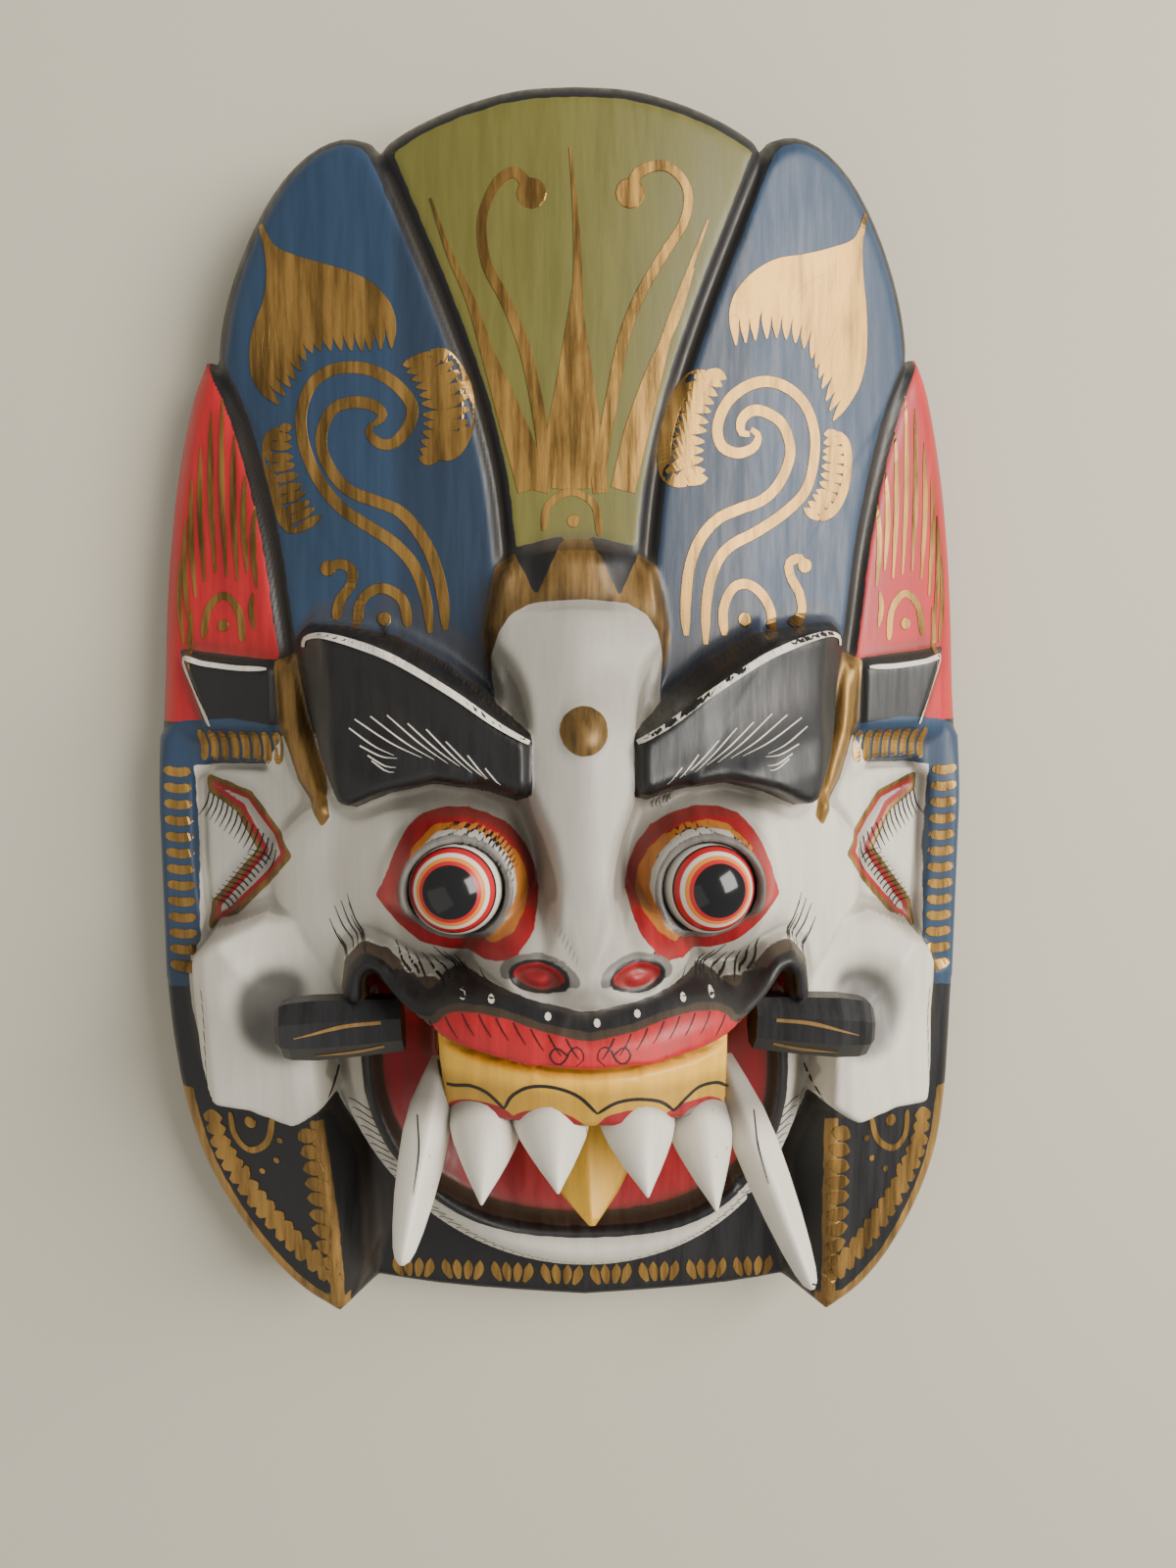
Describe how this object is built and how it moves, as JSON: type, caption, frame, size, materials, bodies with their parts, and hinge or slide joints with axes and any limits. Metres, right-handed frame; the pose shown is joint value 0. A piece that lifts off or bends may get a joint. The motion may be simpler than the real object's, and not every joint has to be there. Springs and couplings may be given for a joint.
{
  "type": "carved wooden barong mask",
  "caption": "Carved and painted wooden demon mask with a fan crown, bulging eyes, fangs and tusks, hollowed behind to wear or hang.",
  "frame": {"origin": "middle of the flat back, under the centre of the mask's outline", "axes": "+X across the face to the viewer's right, +Y up the face to the top of the crown, +Z out of the face; the mask lies on its back"},
  "size_m": [0.2132, 0.311, 0.0975],
  "materials": {
    "painted_wood": "satin paint on carved wood, with gold line work"
  },
  "bodies": {
    "root": {"mask": "painted_wood"}
  },
  "joints": []
}
